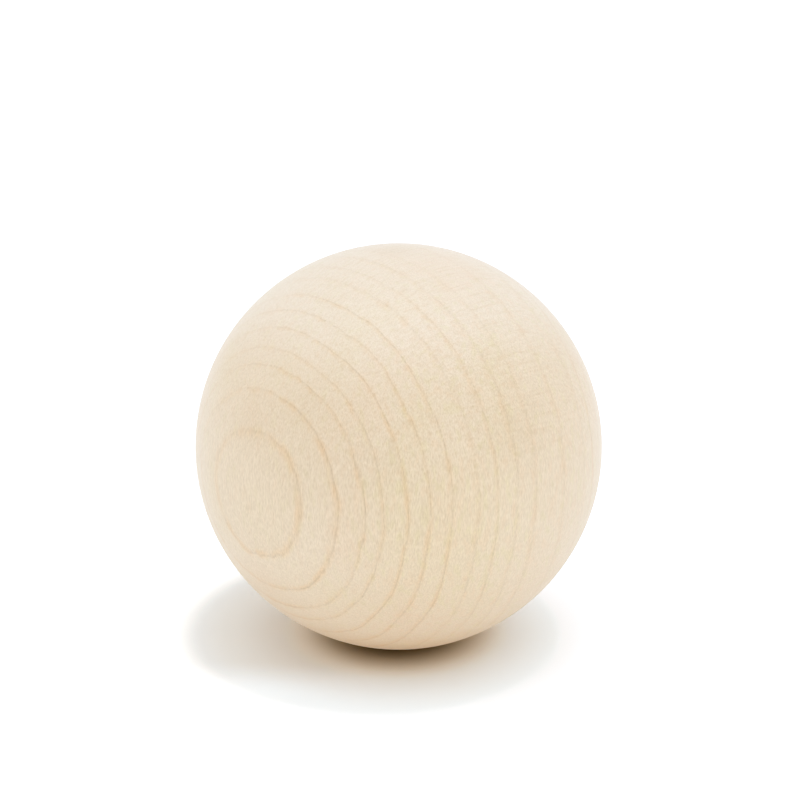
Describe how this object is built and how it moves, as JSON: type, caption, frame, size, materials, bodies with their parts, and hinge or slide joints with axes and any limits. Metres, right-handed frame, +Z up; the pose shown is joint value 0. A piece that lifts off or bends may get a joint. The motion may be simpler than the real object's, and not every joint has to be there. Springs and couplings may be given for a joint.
{
  "type": "wooden ball",
  "caption": "Plain solid wooden ball, turned from a single piece of pale close-grained hardwood and sanded smooth, with no hole, flat or finish.",
  "frame": {"origin": "centre of the ball", "axes": "+Z up as the ball lies, and within about 6 degrees of the wood's grain; -Y towards the viewer, a little left of whom the growth rings close into an oval"},
  "size_m": [0.0508, 0.0508, 0.0508],
  "materials": {
    "bare_wood": "unfinished, finely sanded, matt"
  },
  "bodies": {
    "root": {"ball": "bare_wood"}
  },
  "joints": []
}
